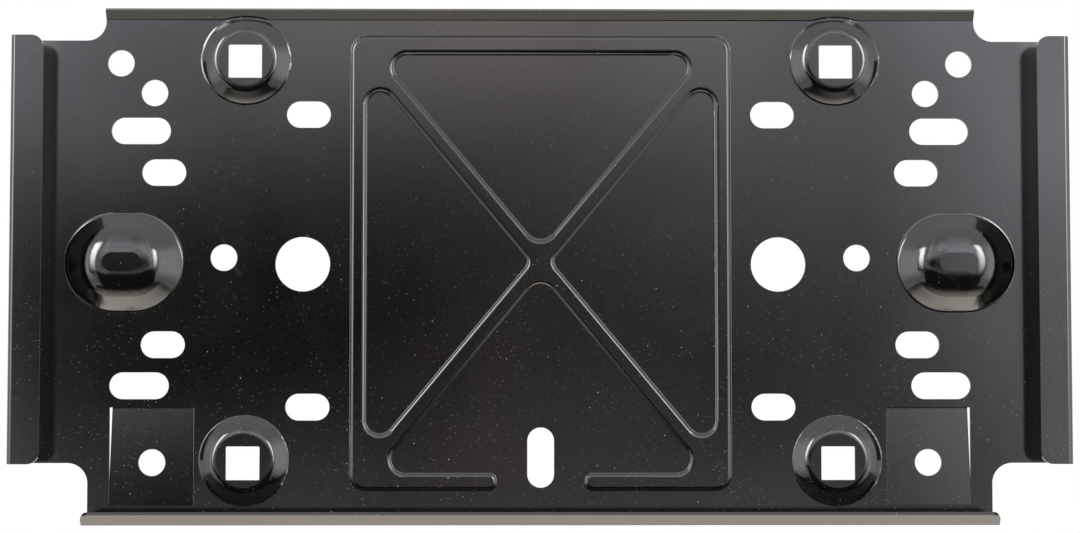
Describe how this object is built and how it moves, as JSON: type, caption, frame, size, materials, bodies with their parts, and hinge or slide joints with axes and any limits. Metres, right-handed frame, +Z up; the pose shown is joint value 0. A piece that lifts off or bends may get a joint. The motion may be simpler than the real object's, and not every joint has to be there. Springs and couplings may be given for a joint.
{
  "type": "number plate holder",
  "caption": "Pressed steel holder for a car number plate, with folded side and foot channels, raised bosses with square nut holes, a crossed stiffening bead, fixing slots and lanced tabs.",
  "frame": {"origin": "middle of the four square plate holes, on the rear face of the flat panel", "axes": "+X across the holder to the right seen from the front, +Z up, -Y out of the front towards the plate, +Y towards the car"},
  "size_m": [0.315, 0.0162, 0.155],
  "materials": {
    "black_paint": "gloss black paint on steel sheet"
  },
  "bodies": {
    "root": {"plate_holder": "black_paint"}
  },
  "joints": []
}
